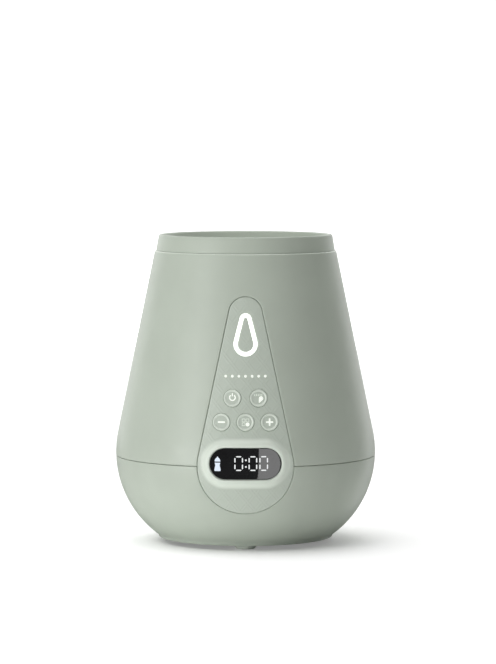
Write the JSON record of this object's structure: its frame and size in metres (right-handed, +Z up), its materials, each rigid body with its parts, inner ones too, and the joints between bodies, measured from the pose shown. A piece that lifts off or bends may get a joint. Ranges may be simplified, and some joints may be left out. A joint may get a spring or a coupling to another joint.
{
  "type": "bottle warmer",
  "caption": "Digital baby-bottle warmer: pear-shaped housing with an open heated well, a lift-out basket, and a teardrop control panel with push keys, light ring and clock display.",
  "frame": {"origin": "on the standing plane, under the middle of the round housing", "axes": "+Z up, along the housing's axis; -Y towards the control panel at the front; +X to the right of someone facing the panel"},
  "size_m": [0.142, 0.1431, 0.168],
  "materials": {
    "sage_plastic": "satin moulded plastic, pale sage green",
    "pale_sage_plastic": "satin moulded plastic with a fine quilted relief",
    "black_window": "gloss black display window",
    "lit_diffuser": "white translucent light guide, lit",
    "sage_silicone": "matt silicone rubber",
    "clear_silicone": "translucent silicone",
    "aluminium": "brushed",
    "steel": "zinc-plated",
    "brass": "plain",
    "basket_white": "satin moulded plastic",
    "carrier_grey": "heat-resistant moulded plastic",
    "board_green": "solder mask on glass-epoxy board",
    "black_plastic": "moulded plastic",
    "yellow_tape": "taped winding",
    "blue_plastic": "moulded plastic case",
    "fuse_tube": "glass tube with metal caps",
    "gap_pad": "thermal interface pad",
    "red_wire": "silicone insulation",
    "blue_wire": "silicone insulation",
    "brown_wire": "silicone insulation",
    "white_wire": "insulation"
  },
  "bodies": {
    "housing": {"upper_shell": "sage_plastic", "lower_shell": "sage_plastic", "top_collar": "sage_plastic", "base_cover": "sage_plastic", "front_foot": "sage_silicone", "rear_right_foot": "sage_silicone", "rear_left_foot": "sage_silicone", "base_screw_1": "steel", "base_screw_2": "steel", "base_screw_3": "steel", "control_panel": "pale_sage_plastic", "display_window": "black_window", "light_guide": "lit_diffuser", "power_switch": "black_plastic", "defrost_switch": "black_plastic", "minus_switch": "black_plastic", "program_switch": "black_plastic", "plus_switch": "black_plastic", "control_board": "board_green", "light_led_1": "lit_diffuser", "light_led_2": "lit_diffuser", "light_led_3": "lit_diffuser", "display_module": "black_plastic", "display_board": "board_green", "heating_well": "aluminium", "well_seal": "clear_silicone", "well_carrier": "carrier_grey", "thermal_pad": "gap_pad", "heater_plate": "aluminium", "heater_clamp": "steel", "clamp_screw_1": "steel", "clamp_screw_2": "steel", "temperature_sensor": "steel", "thermal_cutout": "black_plastic", "heater_terminal_live": "brass", "heater_terminal_neutral": "brass", "power_board": "board_green", "transformer": "yellow_tape", "heater_relay": "black_plastic", "suppression_capacitor": "blue_plastic", "bulk_capacitor": "black_plastic", "fuse": "fuse_tube", "mains_terminal": "basket_white", "buzzer": "black_plastic", "ribbon_header": "white_wire", "power_inlet": "black_plastic", "inlet_pin_live": "brass", "inlet_pin_neutral": "brass", "inlet_wire_live": "brown_wire", "inlet_wire_neutral": "blue_wire", "heater_wire_live": "red_wire", "heater_wire_neutral": "white_wire", "sensor_wire": "white_wire", "ribbon_cable": "white_wire"},
    "power_key": {"power_key": "pale_sage_plastic"},
    "defrost_key": {"defrost_key": "pale_sage_plastic"},
    "minus_key": {"minus_key": "pale_sage_plastic"},
    "program_key": {"program_key": "pale_sage_plastic"},
    "plus_key": {"plus_key": "pale_sage_plastic"},
    "basket": {"lift_basket": "basket_white"}
  },
  "joints": [
    {"name": "power_press", "type": "slide", "parent": "housing", "child": "power_key", "axis": [0, 0.9796, -0.2011], "range_m": [0, 0.0006], "stiffness_N_per_m": 1500},
    {"name": "defrost_press", "type": "slide", "parent": "housing", "child": "defrost_key", "axis": [0, 0.9796, -0.2011], "range_m": [0, 0.0006], "stiffness_N_per_m": 1500},
    {"name": "minus_press", "type": "slide", "parent": "housing", "child": "minus_key", "axis": [0, 0.9796, -0.2011], "range_m": [0, 0.0006], "stiffness_N_per_m": 1500},
    {"name": "program_press", "type": "slide", "parent": "housing", "child": "program_key", "axis": [0, 0.9796, -0.2011], "range_m": [0, 0.0006], "stiffness_N_per_m": 1500},
    {"name": "plus_press", "type": "slide", "parent": "housing", "child": "plus_key", "axis": [0, 0.9796, -0.2011], "range_m": [0, 0.0006], "stiffness_N_per_m": 1500},
    {"name": "basket_lift", "type": "slide", "parent": "housing", "child": "basket", "axis": [0, 0, 1], "range_m": [0, 0.11]}
  ]
}
